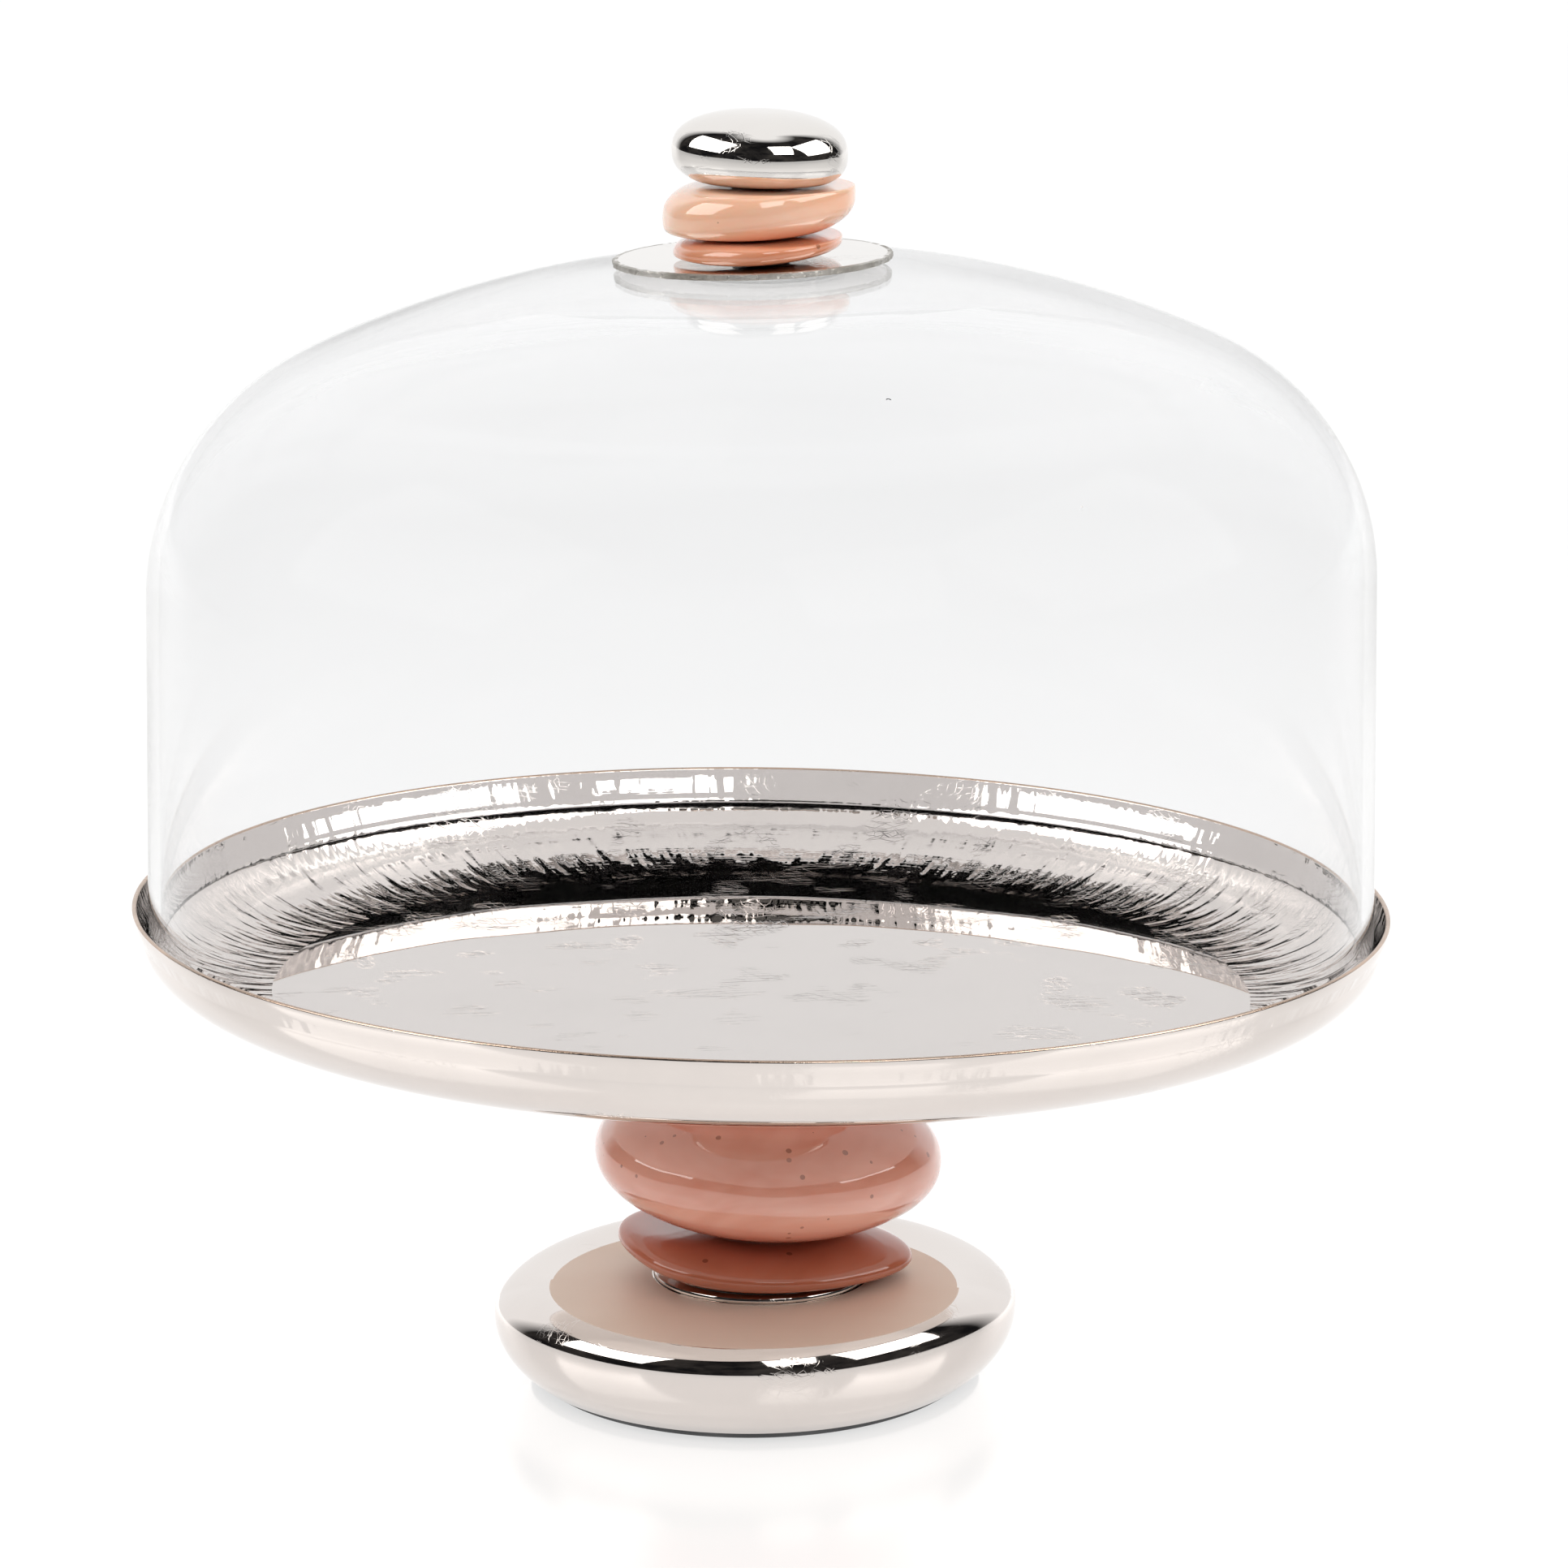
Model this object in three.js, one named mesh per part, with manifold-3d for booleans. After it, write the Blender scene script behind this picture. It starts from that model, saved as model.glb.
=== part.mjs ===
// Pedestal cake stand with a lift-off glass dome, in the style of two stacked-pebble cairns.
// Millimetres, +Z up. The origin is on the floor, under the tie rod that holds the pedestal together.
//
// The stand: a hollow nickel base pebble, three glass pebbles and a nickel tray, all clamped by one rod.
// The dome: a blown glass bell with a nickel saucer bonded to its crown, whose stud carries the knob.

import * as THREE from 'three';
import { mergeVertices } from 'three/addons/utils/BufferGeometryUtils.js';
import Module from 'manifold-3d';

const wasm = await Module();
wasm.setup();

// ---------------------------------------------------------------- driving dimensions

const roundSegments = 48; // around the tray and the dome
const smallSegments = 20; // around fasteners, gaskets and bores

// Tray: spun sheet, a flat floor that turns up through an elliptical wall to a short flared lip.
const trayRimRadius = 150;
const trayRimHeight = 118;
const traySheet = 1.2;
const trayFloorRadius = 117; // where the flat floor ends and the wall starts to rise
const trayWallTop = 112; // where the elliptical wall ends and the lip starts
const trayWallReach = 30.9; // outer half-axes of the wall's quarter ellipse
const trayWallDrop = 16;
const trayUnderside = trayWallTop - trayWallDrop;
const trayLean = -0.0116; // hand-finished: the tray sits a little low on the right

// Dome: straight, slightly tapered wall, round shoulder, shallow crown pressed flat at the middle.
const domeGlass = 3;
const domeFootHeight = 109.5;
const domeFootRadius = 146.2;
const domeShoulderRadius = 145.45; // outer radius where the wall meets the shoulder
const domeShoulderHeight = 195.8;
const domeShoulderArc = 59.5;
const domeCrownArc = 263.6;
const domeFlatBlend = 60; // inside this radius the crown flattens towards its middle
const domeFlatPower = 3.12;
const domeLean = 0.017; // the blown crown sits a little low on the left, above a foot that follows the tray
const domeLeanStart = 120;
const domeLeanFull = 200;

// Tie rod of the stand, M8, and its fasteners inside the base.
const rodRadius = 4;
const rodBore = 4.3;
const rodBottom = 7.5;
const rodTop = 94.6;
const seatGap = 0.05; // between faces that are clamped together

// Base pebble: hollow nickel casting on a rubber ring.
const padThickness = 2;
const padWidth = 9;
const baseWall = 2.3;
const baseWaist = 17.6; // height of the widest section
const baseSeat = 25; // spot face under the collar
const baseInnerPad = 19.4; // flat inside face that the washer bears on
const innerPadRadius = 29;
const collarRadius = 26;
const collarTop = 26.9;

// Levels of the pedestal stack.
const gasketThickness = 0.7;
const lowerPebbleTop = 37.2;
const middlePebbleTop = 73;
const topPebbleTop = 90;
const bossRadius = 14;

// Knob on the dome.
const domeFlatTop = 271.9;
const saucerRadius = 33.15;
const saucerSheet = 1.5;
const saucerOffset = -2; // the saucer sits a little left of the stud
const saucerUnderside = 272.6;
const saucerLeanX = 0.03;
const saucerLeanY = -0.02;
const saucerTop = saucerUnderside + saucerSheet;
const bondRadius = 20;
const bondThickness = 0.3;
const studRadius = 3;
const studBore = 3.3;
const studTop = 301;
const knobGasket = 0.4;
const knobGasketRadius = 7;
const lowerKnobTop = 279.6;
const upperKnobTop = 291;

// ---------------------------------------------------------------- solids and booleans

function toSolid(geometry) {
  const bare = geometry.index ? geometry.clone() : geometry;
  bare.deleteAttribute('normal');
  bare.deleteAttribute('uv');
  const welded = mergeVertices(bare, 1e-4);
  return new wasm.Manifold(new wasm.Mesh({
    numProp: 3,
    vertProperties: new Float32Array(welded.attributes.position.array),
    triVerts: new Uint32Array(welded.index.array),
  }));
}

function toGeometry(solid) {
  const mesh = solid.getMesh();
  const geometry = new THREE.BufferGeometry();
  geometry.setAttribute('position', new THREE.BufferAttribute(new Float32Array(mesh.vertProperties), 3));
  geometry.setIndex(new THREE.BufferAttribute(new Uint32Array(mesh.triVerts), 1));
  return geometry;
}

// A turned solid about +Z. The outline runs up its outside, as [radius, height] pairs.
function turned(outline, segments = smallSegments) {
  const points = outline.map(([radius, height]) => new THREE.Vector2(radius, height));
  return new THREE.LatheGeometry(points, segments).rotateX(Math.PI / 2);
}

function disc(radius, bottom, top, segments) {
  return turned([[0, bottom], [radius, bottom], [radius, top], [0, top]], segments);
}

function ring(inner, outer, bottom, top, segments) {
  return turned([[inner, bottom], [outer, bottom], [outer, top], [inner, top], [inner, bottom]], segments);
}

// A ring with a small chamfer on its four edges, for washers and collars.
function chamferedRing(inner, outer, bottom, top, chamfer, segments) {
  return turned([
    [inner, bottom + chamfer],
    [inner + chamfer, bottom],
    [outer - chamfer, bottom],
    [outer, bottom + chamfer],
    [outer, top - chamfer],
    [outer - chamfer, top],
    [inner + chamfer, top],
    [inner, top - chamfer],
    [inner, bottom + chamfer],
  ], segments);
}

function block(low, high) {
  const size = new THREE.Vector3().subVectors(high, low);
  const middle = new THREE.Vector3().addVectors(low, high).multiplyScalar(0.5);
  return new THREE.BoxGeometry(size.x, size.y, size.z).translate(middle.x, middle.y, middle.z);
}

function slab(bottom, top) {
  const reach = 200;
  return toSolid(block(new THREE.Vector3(-reach, -reach, bottom), new THREE.Vector3(reach, reach, top)));
}

// Moves every point up or down by leanX(z) for each millimetre to the right, and by leanY for each one back.
function leaning(geometry, leanX, leanY = 0) {
  const position = geometry.attributes.position;
  for (let i = 0; i < position.count; i += 1) {
    const z = position.getZ(i);
    position.setZ(i, z + leanX(z) * position.getX(i) + leanY * position.getY(i));
  }
  return geometry;
}

function smoothStep(low, high, value) {
  const t = Math.min(1, Math.max(0, (value - low) / (high - low)));
  return t * t * (3 - 2 * t);
}

// ---------------------------------------------------------------- pebbles

// Height of a superellipse of the given power, for a sine or cosine of its angle.
function squared(value, power) {
  return Math.sign(value) * Math.abs(value) ** (2 / power);
}

// How far a pebble's plan reaches at an angle, against an oval: two or three soft lobes.
function planReach(lobes, angle) {
  let reach = 1;
  for (const lobe of lobes) {
    reach *= 1 + lobe.size * Math.cos(lobe.count * (angle - lobe.angle));
  }
  return reach;
}

// A river-pebble form. Its widest section lies at spec.waist; spec.up and spec.down are its heights above
// and below that. The body leans by spec.leanX and spec.leanY, millimetres of rise for each millimetre across.
function pebble(spec, across, rings) {
  const geometry = new THREE.SphereGeometry(1, across, rings).rotateX(Math.PI / 2);
  const position = geometry.attributes.position;
  for (let i = 0; i < position.count; i += 1) {
    const sine = position.getZ(i);
    const cosine = Math.hypot(position.getX(i), position.getY(i));
    const angle = Math.atan2(position.getY(i), position.getX(i));
    const power = sine > 0 ? spec.powerUp : spec.powerDown;
    const rise = squared(sine, power) * (sine > 0 ? spec.up : spec.down);
    const reach = squared(cosine, power) * planReach(spec.lobes, angle);
    const x = spec.halfX * reach * Math.cos(angle);
    const y = spec.halfY * reach * Math.sin(angle);
    position.setXYZ(i, x + spec.x, y + spec.y, spec.waist + rise + spec.leanX * x + spec.leanY * y);
  }
  return geometry;
}

// The base's form: a pebble below its waist. Above it, a rounded shoulder turns in to the edge of an oval
// face, ground on top, which lies nearer the front and rises gently to the back. Behind the face the
// shoulder swells above it.
function facedPebble(spec, across, rings, inset = 0) {
  const shoulderShare = 0.5; // of the rings above the waist
  const shoulderTurn = 55 * degrees;
  const { face } = spec;
  const geometry = new THREE.SphereGeometry(1, across, rings).rotateX(Math.PI / 2);
  const position = geometry.attributes.position;
  for (let i = 0; i < position.count; i += 1) {
    const sine = position.getZ(i);
    const cosine = Math.hypot(position.getX(i), position.getY(i));
    const angle = Math.atan2(position.getY(i), position.getX(i));
    const reach = planReach(spec.lobes, angle);
    const waistX = spec.x + (spec.halfX - inset) * reach * Math.cos(angle);
    const waistY = spec.y + (spec.halfY - inset) * reach * Math.sin(angle);
    const edgeX = face.x + (face.halfX - inset) * Math.cos(angle);
    const edgeY = face.y + (face.halfY - inset) * Math.sin(angle);
    const faceHeight = (y) => face.level - inset + face.lean * y;
    const share = Math.atan2(sine, cosine) / (90 * degrees);
    if (share <= 0) {
      const narrow = squared(cosine, spec.powerDown);
      const x = spec.x + (waistX - spec.x) * narrow;
      const y = spec.y + (waistY - spec.y) * narrow;
      position.setXYZ(i, x, y, spec.waist + squared(sine, spec.powerDown) * spec.down);
    } else if (share <= shoulderShare) {
      const turn = (share / shoulderShare) * shoulderTurn;
      const inward = (1 - Math.cos(turn)) / (1 - Math.cos(shoulderTurn));
      const upward = Math.sin(turn) / Math.sin(shoulderTurn);
      const x = waistX + (edgeX - waistX) * inward;
      const y = waistY + (edgeY - waistY) * inward;
      const swell = spec.swell * Math.max(0, Math.sin(angle)) * Math.sin(Math.PI * (share / shoulderShare));
      position.setXYZ(i, x, y, spec.waist + (faceHeight(edgeY) - spec.waist) * upward + swell);
    } else {
      const inward = (share - shoulderShare) / (1 - shoulderShare);
      const x = edgeX + (face.x - edgeX) * inward;
      const y = edgeY + (face.y - edgeY) * inward;
      position.setXYZ(i, x, y, faceHeight(y));
    }
  }
  return geometry;
}

// A glass pebble: ground flat where it is clamped, and drilled for the rod.
function drilledPebble(spec, flatBottom, flatTop, bore) {
  const hole = toSolid(disc(bore, flatBottom - 20, flatTop + 20));
  return toGeometry(toSolid(pebble(spec, 24, 10))
    .intersect(slab(flatBottom, flatTop))
    .subtract(hole));
}

const degrees = Math.PI / 180;

const basePebble = {
  x: -1.2, y: -0.5, waist: baseWaist, halfX: 62.8, halfY: 60.5, down: 26.3, powerDown: 2.33,
  lobes: [
    { count: 2, size: 0.03, angle: 45 * degrees },
    { count: 3, size: 0.025, angle: -84 * degrees },
  ],
  face: { x: -1.7, y: -11, halfX: 49, halfY: 48, level: 26.1, lean: 0.028 },
  swell: 5,
};

const lowerPebble = {
  x: -0.5, y: -1, waist: 32.3, halfX: 35, halfY: 27, up: 6.6, down: 6.3,
  powerUp: 2.2, powerDown: 2, leanX: -0.065, leanY: 0.06,
  lobes: [
    { count: 2, size: 0.02, angle: -40 * degrees },
    { count: 3, size: 0.06, angle: -108 * degrees },
  ],
};

const middlePebble = {
  x: 1.6, y: 0, waist: 55, halfX: 42.2, halfY: 38, up: 18.6, down: 17.6,
  powerUp: 2.15, powerDown: 2.12, leanX: -0.045, leanY: 0.02,
  lobes: [
    { count: 2, size: 0.02, angle: 60 * degrees },
    { count: 3, size: 0.02, angle: 30 * degrees },
  ],
};

const topPebble = {
  x: -0.5, y: 0.5, waist: 81.8, halfX: 29.5, halfY: 27, up: 8.6, down: 8.6,
  powerUp: 2.15, powerDown: 2.15, leanX: 0.05, leanY: -0.02,
  lobes: [
    { count: 2, size: 0.02, angle: 20 * degrees },
    { count: 3, size: 0.025, angle: 70 * degrees },
  ],
};

const lowerKnob = {
  x: -0.8, y: -4, waist: 276.9, halfX: 19.9, halfY: 23, up: 3.1, down: 2.9,
  powerUp: 2.4, powerDown: 3.4, leanX: 0.09, leanY: -0.02,
  lobes: [{ count: 3, size: 0.02, angle: -90 * degrees }],
};

const upperKnob = {
  x: -0.9, y: -2, waist: 286, halfX: 22.5, halfY: 20.5, up: 7.1, down: 7.2,
  powerUp: 2.4, powerDown: 2.3, leanX: 0.13, leanY: 0,
  lobes: [
    { count: 2, size: 0.015, angle: 30 * degrees },
    { count: 3, size: 0.02, angle: 10 * degrees },
  ],
};

const capKnob = {
  x: 0.1, y: -0.5, waist: 298.6, halfX: 21, halfY: 18, up: 9.6, down: 7.6,
  powerUp: 2, powerDown: 2.3, leanX: -0.03, leanY: 0.02,
  lobes: [
    { count: 2, size: 0.015, angle: 100 * degrees },
    { count: 3, size: 0.02, angle: -60 * degrees },
  ],
};

// ---------------------------------------------------------------- the stand

const baseAcross = 44;
const baseRings = 18;
const baseOuter = toSolid(facedPebble(basePebble, baseAcross, baseRings));
const rodHole = toSolid(disc(rodBore, 0, 120));

function makeFootPad() {
  const opening = toSolid(facedPebble(basePebble, baseAcross, baseRings, padWidth));
  return toGeometry(baseOuter.intersect(slab(0, padThickness)).subtract(opening));
}

// The shell stands on the pad. A boss inside its crown gives the washer a flat face, and a spot face
// outside it seats the collar.
const baseShell = (() => {
  const innerBoss = toSolid(disc(innerPadRadius, baseInnerPad, 40));
  const cavity = toSolid(facedPebble(basePebble, baseAcross, 12, baseWall)).subtract(innerBoss);
  const spotFace = toSolid(disc(collarRadius + 0.4, baseSeat, 60));
  return baseOuter
    .intersect(slab(padThickness + seatGap, 60))
    .subtract(cavity)
    .subtract(spotFace)
    .subtract(rodHole);
})();

function makeTieRod() {
  const chamfer = 0.8;
  return turned([
    [0, rodBottom],
    [rodRadius - chamfer, rodBottom],
    [rodRadius, rodBottom + chamfer],
    [rodRadius, rodTop - chamfer],
    [rodRadius - chamfer, rodTop],
    [0, rodTop],
  ]);
}

const flatWasherTop = baseInnerPad - seatGap;
const flatWasherBottom = flatWasherTop - 1.6;
const springWasherTop = flatWasherBottom - seatGap;
const springWasherBottom = springWasherTop - 2;
const nutTop = springWasherBottom - seatGap;
const nutBottom = nutTop - 6.5;

// A split spring washer, cut through on one side.
function makeSpringWasher() {
  const slit = toSolid(block(
    new THREE.Vector3(3, -0.6, springWasherBottom - 1),
    new THREE.Vector3(9, 0.6, springWasherTop + 1),
  ));
  return toGeometry(toSolid(ring(4.15, 6.6, springWasherBottom, springWasherTop)).subtract(slit));
}

// A hexagon nut with its corners turned off.
function makeNut() {
  const acrossFlats = 13;
  const corner = acrossFlats / Math.sqrt(3);
  const hexagon = new THREE.Shape();
  for (let i = 0; i < 6; i += 1) {
    const angle = i * 60 * degrees;
    hexagon.lineTo(corner * Math.cos(angle), corner * Math.sin(angle));
  }
  const prism = new THREE.ExtrudeGeometry(hexagon, { depth: nutTop - nutBottom, bevelEnabled: false });
  const rounding = turned([
    [0, nutBottom],
    [6.6, nutBottom],
    [7.6, nutBottom + 0.6],
    [7.6, nutTop - 0.6],
    [6.6, nutTop],
    [0, nutTop],
  ], 36);
  return toGeometry(toSolid(prism.translate(0, 0, nutBottom))
    .intersect(toSolid(rounding))
    .subtract(toSolid(disc(rodRadius + 0.08, nutBottom - 1, nutTop + 1))));
}

const baseGasketBottom = collarTop + seatGap;
const lowerPebbleBottom = baseGasketBottom + gasketThickness + seatGap;
const lowerGasketBottom = lowerPebbleTop + seatGap;
const middlePebbleBottom = lowerGasketBottom + gasketThickness + seatGap;
const middleGasketBottom = middlePebbleTop + seatGap;
const topPebbleBottom = middleGasketBottom + gasketThickness + seatGap;
const topGasketBottom = topPebbleTop + seatGap;
const bossBottom = topGasketBottom + gasketThickness + seatGap;
const bossTop = trayUnderside + trayLean * bossRadius - seatGap;

function gasket(radius, bottom) {
  return ring(rodBore, radius, bottom, bottom + gasketThickness);
}

// The boss under the tray, brazed to it, with a blind hole for the rod.
function makeTrayBoss() {
  const boss = turned([
    [0, bossBottom],
    [bossRadius - 1, bossBottom],
    [bossRadius, bossBottom + 1],
    [bossRadius, bossTop],
    [0, bossTop],
  ], 36);
  return toGeometry(toSolid(boss).subtract(toSolid(disc(rodRadius + 0.08, bossBottom - 1, rodTop + 0.4))));
}

function makeTray() {
  const outline = [[0, trayUnderside]];
  const steps = 8;
  for (let i = 0; i <= steps; i += 1) {
    const angle = (i / steps) * 90 * degrees;
    outline.push([
      trayFloorRadius + trayWallReach * Math.sin(angle),
      trayWallTop - trayWallDrop * Math.cos(angle),
    ]);
  }
  outline.push([trayRimRadius, trayRimHeight - 0.3]);
  outline.push([trayRimRadius - 0.3, trayRimHeight]);
  outline.push([trayRimRadius - traySheet + 0.2, trayRimHeight]);
  for (let i = steps; i >= 0; i -= 1) {
    const angle = (i / steps) * 90 * degrees;
    outline.push([
      trayFloorRadius + (trayWallReach - traySheet) * Math.sin(angle),
      trayWallTop - (trayWallDrop - traySheet) * Math.cos(angle),
    ]);
  }
  outline.push([0, trayUnderside + traySheet]);
  return leaning(turned(outline, roundSegments), () => trayLean);
}

// ---------------------------------------------------------------- the dome

// The dome's section from its crown to its foot, set in by the given depth from the outer surface.
function domeSection(depth) {
  const crownCentre = domeShoulderHeight - Math.sqrt(
    (domeCrownArc - domeShoulderArc) ** 2 - (domeShoulderRadius - domeShoulderArc) ** 2,
  );
  const crownRadius = domeCrownArc - depth;
  const shoulderCentre = domeShoulderRadius - domeShoulderArc;
  const meeting = Math.atan2(domeShoulderHeight - crownCentre, shoulderCentre);
  const crownHeight = (radius) => crownCentre + Math.sqrt(crownRadius ** 2 - radius ** 2);
  const blendHeight = crownHeight(domeFlatBlend);
  const rise = domeFlatTop - depth - blendHeight;
  const section = [];
  for (const share of [0, 0.3, 0.55, 0.8]) {
    section.push([domeFlatBlend * share, domeFlatTop - depth - rise * share ** domeFlatPower]);
  }
  const blendAngle = Math.acos(domeFlatBlend / crownRadius);
  const crownSteps = 3;
  for (let i = 0; i < crownSteps; i += 1) {
    const angle = blendAngle + (meeting - blendAngle) * (i / crownSteps);
    section.push([crownRadius * Math.cos(angle), crownCentre + crownRadius * Math.sin(angle)]);
  }
  const shoulderSteps = 6;
  for (let i = 0; i <= shoulderSteps; i += 1) {
    const angle = meeting * (1 - i / shoulderSteps);
    section.push([
      shoulderCentre + (domeShoulderArc - depth) * Math.cos(angle),
      domeShoulderHeight + (domeShoulderArc - depth) * Math.sin(angle),
    ]);
  }
  return section;
}

function makeDome() {
  const round = 1;
  const outer = domeSection(0).reverse();
  const inner = domeSection(domeGlass);
  const foot = [
    [domeFootRadius - domeGlass, domeFootHeight + round],
    [domeFootRadius - domeGlass + round, domeFootHeight],
    [domeFootRadius - round, domeFootHeight],
    [domeFootRadius, domeFootHeight + round],
  ];
  const leanAt = (z) => trayLean + (domeLean - trayLean) * smoothStep(domeLeanStart, domeLeanFull, z);
  return leaning(turned([...inner, ...foot, ...outer], roundSegments), leanAt);
}

// The saucer's rim is off-centre, so its outline is moved and its stud hole is bored afterwards.
function makeSaucer() {
  const chamfer = 0.3;
  const blank = turned([
    [0, saucerUnderside],
    [saucerRadius - chamfer, saucerUnderside],
    [saucerRadius, saucerUnderside + chamfer],
    [saucerRadius, saucerTop - chamfer],
    [saucerRadius - chamfer, saucerTop],
    [0, saucerTop],
  ], 40).translate(saucerOffset, 0, 0);
  const hole = toSolid(disc(studRadius + 0.05, saucerUnderside - 5, saucerTop + 5));
  return toGeometry(toSolid(leaning(blank, () => saucerLeanX, saucerLeanY)).subtract(hole));
}

// Clear adhesive between the crown and the saucer.
function makeSaucerBond() {
  const top = saucerUnderside - seatGap;
  return leaning(disc(bondRadius, top - bondThickness, top), () => saucerLeanX, saucerLeanY);
}

const lowerKnobGasketBottom = saucerTop + saucerLeanX * knobGasketRadius + seatGap;
const lowerKnobBottom = lowerKnobGasketBottom + knobGasket + seatGap;
const middleKnobGasketBottom = lowerKnobTop + seatGap;
const upperKnobBottom = middleKnobGasketBottom + knobGasket + seatGap;
const upperKnobGasketBottom = upperKnobTop + seatGap;
const capBottom = upperKnobGasketBottom + knobGasket + seatGap;

function knobRing(bottom) {
  return ring(studBore, knobGasketRadius, bottom, bottom + knobGasket);
}

function makeCap() {
  return toGeometry(toSolid(pebble(capKnob, 26, 12))
    .intersect(slab(capBottom, 400))
    .subtract(toSolid(disc(studRadius + 0.08, capBottom - 1, studTop + 0.6))));
}

// ---------------------------------------------------------------- materials and assembly

const looks = {
  nickel: { color: 0xd9d2cb, roughness: 0.06, metalness: 1 },
  darkRose: { color: 0x96604f, roughness: 0.12, metalness: 0 },
  rose: { color: 0xc88373, roughness: 0.1, metalness: 0 },
  peach: { color: 0xf0af8c, roughness: 0.1, metalness: 0 },
  clearGlass: { color: 0xf2f4f5, roughness: 0.02, metalness: 0, transparent: true, opacity: 0.18 },
  silicone: { color: 0xe6e6e2, roughness: 0.3, metalness: 0, transparent: true, opacity: 0.5 },
  rubber: { color: 0x1c1c1e, roughness: 0.8, metalness: 0 },
  steel: { color: 0x9c9c9e, roughness: 0.35, metalness: 1 },
};

const stand = new THREE.Group();
const dome = new THREE.Group();

function place(group, name, geometry, look) {
  const mesh = new THREE.Mesh(geometry, new THREE.MeshStandardMaterial(looks[look]));
  mesh.name = name;
  group.add(mesh);
}

place(stand, 'foot_pad', makeFootPad(), 'rubber');
place(stand, 'base_shell', toGeometry(baseShell), 'nickel');
place(stand, 'base_collar',
  chamferedRing(rodBore, collarRadius, baseSeat + seatGap, collarTop, 0.6, 32), 'nickel');
place(stand, 'tie_rod', makeTieRod(), 'steel');
place(stand, 'tie_rod_washer', chamferedRing(4.25, 9, flatWasherBottom, flatWasherTop, 0.25), 'steel');
place(stand, 'tie_rod_spring_washer', makeSpringWasher(), 'steel');
place(stand, 'tie_rod_nut', makeNut(), 'steel');
place(stand, 'base_gasket', gasket(22, baseGasketBottom), 'silicone');
place(stand, 'pedestal_pebble_lower',
  drilledPebble(lowerPebble, lowerPebbleBottom, lowerPebbleTop, rodBore), 'darkRose');
place(stand, 'lower_gasket', gasket(12, lowerGasketBottom), 'silicone');
place(stand, 'pedestal_pebble_middle',
  drilledPebble(middlePebble, middlePebbleBottom, middlePebbleTop, rodBore), 'rose');
place(stand, 'middle_gasket', gasket(10, middleGasketBottom), 'silicone');
place(stand, 'pedestal_pebble_top',
  drilledPebble(topPebble, topPebbleBottom, topPebbleTop, rodBore), 'rose');
place(stand, 'top_gasket', gasket(10, topGasketBottom), 'silicone');
place(stand, 'tray_boss', makeTrayBoss(), 'nickel');
place(stand, 'tray', makeTray(), 'nickel');

place(dome, 'glass_dome', makeDome(), 'clearGlass');
place(dome, 'saucer_bond', makeSaucerBond(), 'silicone');
place(dome, 'knob_saucer', makeSaucer(), 'nickel');
place(dome, 'knob_stud', disc(studRadius, saucerUnderside + 0.1, studTop), 'steel');
place(dome, 'knob_gasket_lower', knobRing(lowerKnobGasketBottom), 'silicone');
place(dome, 'knob_pebble_lower',
  drilledPebble(lowerKnob, lowerKnobBottom, lowerKnobTop, studBore), 'rose');
place(dome, 'knob_gasket_middle', knobRing(middleKnobGasketBottom), 'silicone');
place(dome, 'knob_pebble_upper',
  drilledPebble(upperKnob, upperKnobBottom, upperKnobTop, studBore), 'peach');
place(dome, 'knob_gasket_upper', knobRing(upperKnobGasketBottom), 'silicone');
place(dome, 'knob_cap_pebble', makeCap(), 'nickel');

const cakeStand = new THREE.Group();
cakeStand.add(stand, dome);

export default cakeStand;
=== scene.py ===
import math

import bpy
import numpy as np
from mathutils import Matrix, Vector, noise


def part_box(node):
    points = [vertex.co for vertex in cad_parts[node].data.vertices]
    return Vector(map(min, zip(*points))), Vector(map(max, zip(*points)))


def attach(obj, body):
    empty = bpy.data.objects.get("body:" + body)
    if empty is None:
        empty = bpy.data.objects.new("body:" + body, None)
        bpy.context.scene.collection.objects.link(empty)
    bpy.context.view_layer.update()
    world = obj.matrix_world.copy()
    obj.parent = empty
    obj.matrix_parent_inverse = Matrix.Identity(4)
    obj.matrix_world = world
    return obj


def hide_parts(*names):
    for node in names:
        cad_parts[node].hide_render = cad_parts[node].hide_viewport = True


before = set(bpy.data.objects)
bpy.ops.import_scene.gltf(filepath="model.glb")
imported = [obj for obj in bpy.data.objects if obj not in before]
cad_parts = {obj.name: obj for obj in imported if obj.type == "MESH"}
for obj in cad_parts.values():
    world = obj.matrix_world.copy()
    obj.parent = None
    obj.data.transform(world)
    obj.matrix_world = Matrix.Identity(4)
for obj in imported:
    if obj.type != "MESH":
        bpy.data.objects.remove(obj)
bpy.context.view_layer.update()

MM = 0.001
TURN = 2 * math.pi
NEAR_ZERO = 1e-6

# ------------------------------------------------ sizes the CAD nodes' boxes do not give, in millimetres

# A lean is a rise for each millimetre along X or Y.

ROD_BORE = 4.3
ROD_RADIUS = 4.0
STUD_BORE = 3.3
STUD_RADIUS = 3.0
WASHER_BORE = 4.25
THREAD_PITCH = 1.25
THREAD_DEPTH = 0.6 * THREAD_PITCH
THREAD_PLAY = 0.08

TRAY_RIM_RADIUS = 150.0
TRAY_RIM_HEIGHT = 118.0
TRAY_SHEET = 1.2
TRAY_FLOOR_RADIUS = 117.0
TRAY_WALL_TOP = 112.0
TRAY_WALL_REACH = 30.9
TRAY_WALL_DROP = 16.0
TRAY_LEAN = -0.0116

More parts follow.
